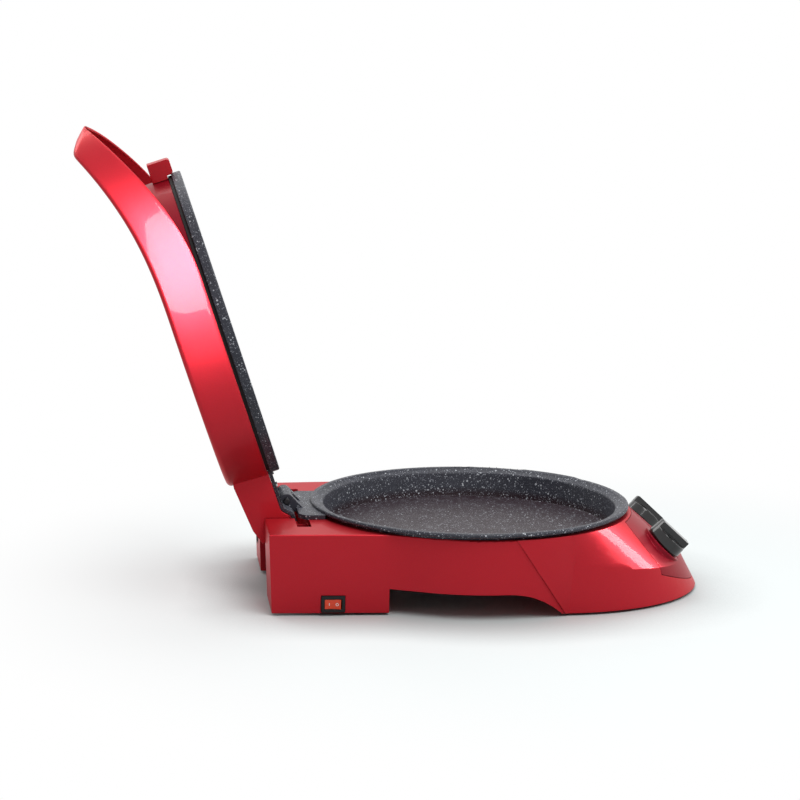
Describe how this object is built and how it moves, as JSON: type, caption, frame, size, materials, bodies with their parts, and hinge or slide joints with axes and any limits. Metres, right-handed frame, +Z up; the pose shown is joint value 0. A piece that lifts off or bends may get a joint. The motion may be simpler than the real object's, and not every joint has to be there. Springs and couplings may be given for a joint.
{
  "type": "countertop cooker with hinged lid",
  "caption": "Round electric countertop cooker: deep non-stick pan in a moulded base, flat upper plate in a hinged lid with a raised front lip, and a sloped control nose with rotary knobs.",
  "frame": {"origin": "on the table, under the centre of the lower pan", "axes": "+Z up, -Y the front with the knobs, +Y towards the hinge, +X the user's right"},
  "size_m": [0.312, 0.6075, 0.4441],
  "materials": {
    "red_plastic": "glossy metallic red moulded plastic",
    "crimson_plastic": "satin crimson moulded plastic",
    "nonstick": "charcoal non-stick coating with fine pale speckles",
    "knob_plastic": "glossy black plastic",
    "black_plastic": "matte black plastic",
    "switch_plastic": "orange-red translucent rocker plastic",
    "steel": "plain bright steel",
    "sheet_metal": "mill-finish sheet aluminium",
    "heating_tube": "dull dark steel tube",
    "rubber": "soft black rubber"
  },
  "bodies": {
    "base": {"base_housing": "red_plastic", "console_cover": "black_plastic", "control_panel": "crimson_plastic", "cord_inlet": "rubber", "cover_screw_1": "steel", "cover_screw_10": "steel", "cover_screw_2": "steel", "cover_screw_3": "steel", "cover_screw_4": "steel", "cover_screw_5": "steel", "cover_screw_6": "steel", "cover_screw_7": "steel", "cover_screw_8": "steel", "cover_screw_9": "steel", "drum_cover": "black_plastic", "foot_1": "rubber", "foot_2": "rubber", "foot_3": "rubber", "foot_4": "rubber", "foot_5": "rubber", "foot_6": "rubber", "hinge_pin": "steel", "left_block_cover": "black_plastic", "lower_heating_element": "heating_tube", "lower_pan": "nonstick", "lower_reflector": "sheet_metal", "right_block_cover": "black_plastic", "switch_housing": "black_plastic", "thermostat": "black_plastic", "timer": "black_plastic"},
    "temperature_knob": {"temperature_knob": "knob_plastic", "thermostat_spindle": "steel"},
    "timer_knob": {"timer_knob": "knob_plastic", "timer_spindle": "steel"},
    "switch_rocker": {"rocker_button": "switch_plastic"},
    "lid": {"front_catch": "red_plastic", "hinge_neck": "red_plastic", "inner_cover": "crimson_plastic", "left_neck_screw": "steel", "lid_shell": "red_plastic", "plate_gasket": "rubber", "right_neck_screw": "steel", "upper_heating_element": "heating_tube", "upper_plate": "nonstick", "upper_reflector": "sheet_metal"}
  },
  "joints": [
    {"name": "lid_hinge", "type": "hinge", "parent": "base", "child": "lid", "pos_m": [0, 0.1807, 0.0883], "axis": [1, 0, 0], "range_deg": [0, 108.46]},
    {"name": "temperature_knob_turn", "type": "hinge", "parent": "base", "child": "temperature_knob", "pos_m": [-0.051, -0.1838, 0.0491], "axis": [-0.1395, -0.682, 0.7179], "range_deg": [0, 270]},
    {"name": "timer_knob_turn", "type": "hinge", "parent": "base", "child": "timer_knob", "pos_m": [0.051, -0.1838, 0.0491], "axis": [0.1395, -0.682, 0.7179], "range_deg": [0, 300]},
    {"name": "switch_rock", "type": "hinge", "parent": "base", "child": "switch_rocker", "pos_m": [-0.11406, 0.1438, 0.0108], "axis": [0, 0, 1], "range_deg": [0, 12]}
  ]
}
